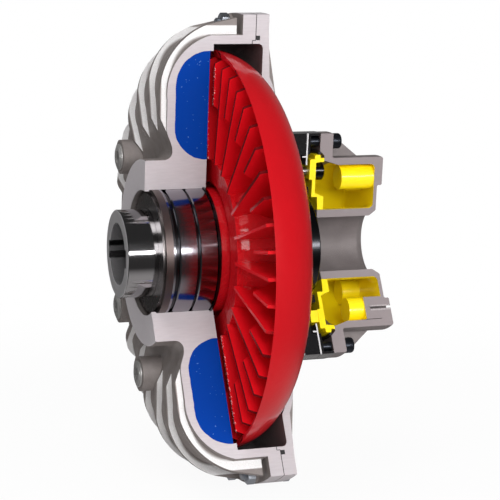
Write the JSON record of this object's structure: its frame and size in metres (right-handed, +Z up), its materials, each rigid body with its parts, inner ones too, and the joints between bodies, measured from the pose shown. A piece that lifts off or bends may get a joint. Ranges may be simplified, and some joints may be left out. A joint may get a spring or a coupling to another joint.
{
  "type": "fluid coupling",
  "caption": "Sectioned fluid coupling: ribbed outer wheel and cover cut open to show the inner wheel, bearings and delay chamber on a hollow shaft.",
  "frame": {"origin": "on the shaft axis, in the plane of the outer wheel hub face, inside the shaft bore", "axes": "+X along the shaft axis from the plain shaft end toward the delay chamber, +Z up, the opened side faces -Y"},
  "size_m": [0.2745, 0.4308, 0.466],
  "materials": {
    "cast_aluminium": "cast, satin, machined on the cut faces",
    "red_paint": "gloss",
    "polished_steel": "ground and polished",
    "machined_steel": "machined",
    "black_oxide_steel": "black oxide",
    "black_cast_iron": "black, glossy",
    "grey_casting": "cast, satin",
    "yellow_paint": "gloss",
    "black_rubber": "matte",
    "brass": "machined"
  },
  "bodies": {
    "shaft_and_inner_wheel": {"hollow_shaft": "polished_steel", "inner_wheel": "red_paint", "inner_wheel_screws": "black_oxide_steel", "left_bearing_inner_rings": "polished_steel", "left_bearing_inner_spacer": "machined_steel", "right_bearing_inner_ring": "polished_steel", "shaft_retaining_ring": "black_oxide_steel"},
    "housing": {"outer_wheel": "cast_aluminium", "casing_plugs": "machined_steel", "cover_shell": "cast_aluminium", "joint_o_ring": "black_rubber", "joint_screws": "black_oxide_steel", "joint_nuts": "machined_steel", "left_bearing_outer_rings": "polished_steel", "left_bearing_outer_spacer": "machined_steel", "left_retaining_ring": "black_oxide_steel", "left_wave_ring": "black_oxide_steel", "left_support_ring": "polished_steel", "left_seal_case": "machined_steel", "left_seal_lip": "black_rubber", "left_seal_cover": "machined_steel", "right_bearing_outer_ring": "polished_steel", "right_shaft_seal": "black_rubber", "bearing_carrier": "black_cast_iron", "carrier_screws": "black_oxide_steel", "baffle_ring": "machined_steel", "spacer_ring": "grey_casting", "delay_chamber": "grey_casting", "chamber_screws": "black_oxide_steel", "chamber_plate": "yellow_paint", "chamber_o_ring": "black_rubber", "nozzle_screw": "machined_steel", "filling_valve": "black_oxide_steel"},
    "left_ball_set": {"left_bearing_balls": "polished_steel", "left_bearing_cages": "brass"},
    "right_ball_set": {"right_bearing_balls": "polished_steel", "right_bearing_cage": "brass"}
  },
  "joints": [
    {"name": "housing_spin", "type": "hinge", "parent": "shaft_and_inner_wheel", "child": "housing", "pos_m": [0, 0, 0], "axis": [1, 0, 0], "continuous": true},
    {"name": "left_ball_set_spin", "type": "hinge", "parent": "shaft_and_inner_wheel", "child": "left_ball_set", "pos_m": [0, 0, 0], "axis": [1, 0, 0], "continuous": true},
    {"name": "right_ball_set_spin", "type": "hinge", "parent": "shaft_and_inner_wheel", "child": "right_ball_set", "pos_m": [0, 0, 0], "axis": [1, 0, 0], "continuous": true}
  ],
  "couplings": [
    {"joint": "left_ball_set_spin", "follows": "housing_spin", "ratio": 0.551},
    {"joint": "right_ball_set_spin", "follows": "housing_spin", "ratio": 0.55}
  ]
}
